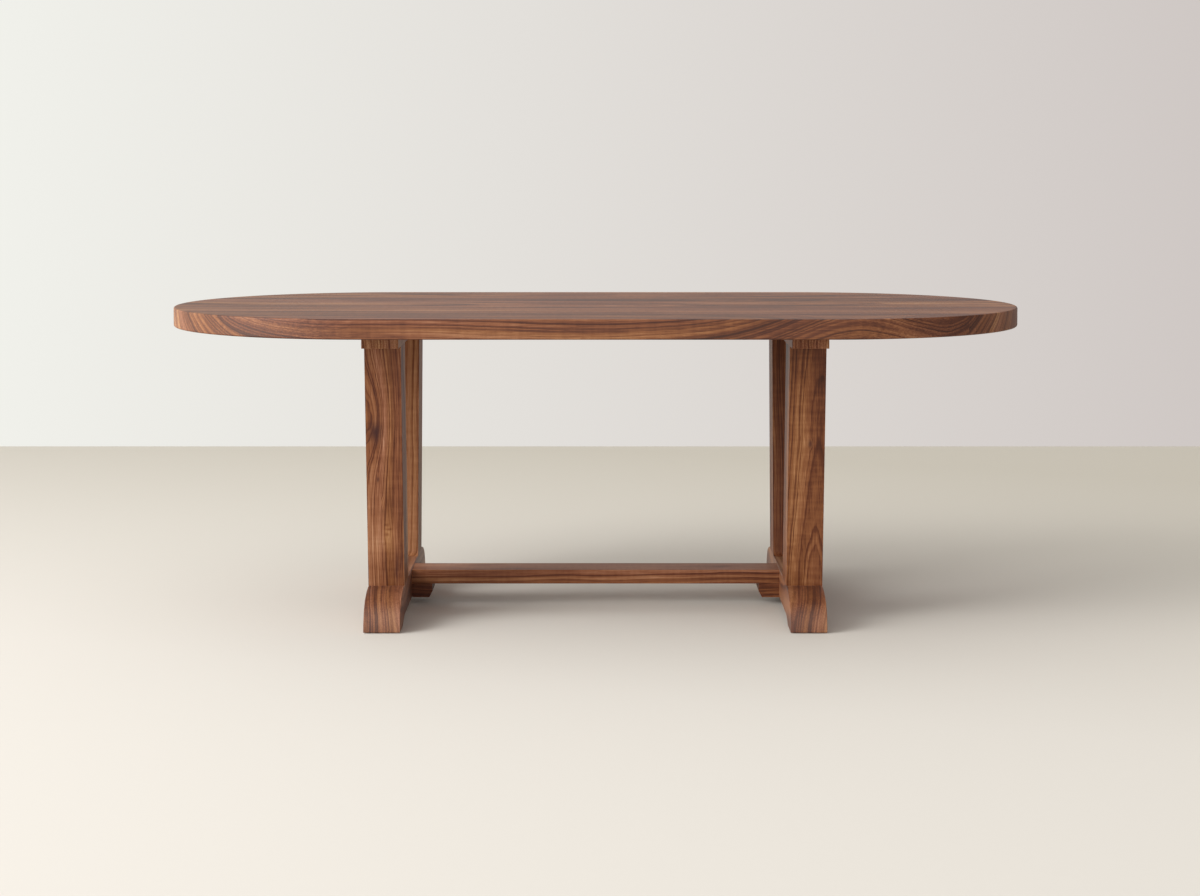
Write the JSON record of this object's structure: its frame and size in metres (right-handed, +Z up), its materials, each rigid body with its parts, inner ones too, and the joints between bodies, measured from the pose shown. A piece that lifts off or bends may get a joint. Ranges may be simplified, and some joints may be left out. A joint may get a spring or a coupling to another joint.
{
  "type": "oval dining table",
  "caption": "Solid walnut dining table with an oval top, straight sides and half-round ends, on trestles of leaning posts joined by a low stretcher.",
  "frame": {"origin": "on the floor under the middle of the top", "axes": "+X along the length of the top, +Y from front to rear, +Z up"},
  "size_m": [2.132, 1.044, 0.762],
  "materials": {
    "walnut_top": "matte oiled walnut",
    "walnut_base": "matte oiled walnut",
    "tongue_wood": "plain plywood",
    "steel_hardware": "zinc plated",
    "brass_inserts": "plain",
    "glide_plastic": "matte nylon"
  },
  "bodies": {
    "root": {"top_board_1": "walnut_top", "top_board_2": "walnut_top", "top_board_3": "walnut_top", "top_board_4": "walnut_top", "top_board_5": "walnut_top", "top_board_6": "walnut_top", "top_board_7": "walnut_top", "top_board_8": "walnut_top", "left_foot": "walnut_base", "right_foot": "walnut_base", "left_bearer": "walnut_base", "right_bearer": "walnut_base", "left_stretcher_block": "walnut_base", "right_stretcher_block": "walnut_base", "left_front_post": "walnut_base", "left_rear_post": "walnut_base", "right_front_post": "walnut_base", "right_rear_post": "walnut_base", "stretcher": "walnut_base", "top_spline_1": "tongue_wood", "top_spline_2": "tongue_wood", "top_spline_3": "tongue_wood", "top_spline_4": "tongue_wood", "top_spline_5": "tongue_wood", "top_spline_6": "tongue_wood", "top_spline_7": "tongue_wood", "top_bolts": "steel_hardware", "top_washers": "steel_hardware", "stretcher_screws": "steel_hardware", "block_screws": "steel_hardware", "top_inserts": "brass_inserts", "left_front_glide": "glide_plastic", "left_rear_glide": "glide_plastic", "right_front_glide": "glide_plastic", "right_rear_glide": "glide_plastic"}
  },
  "joints": []
}
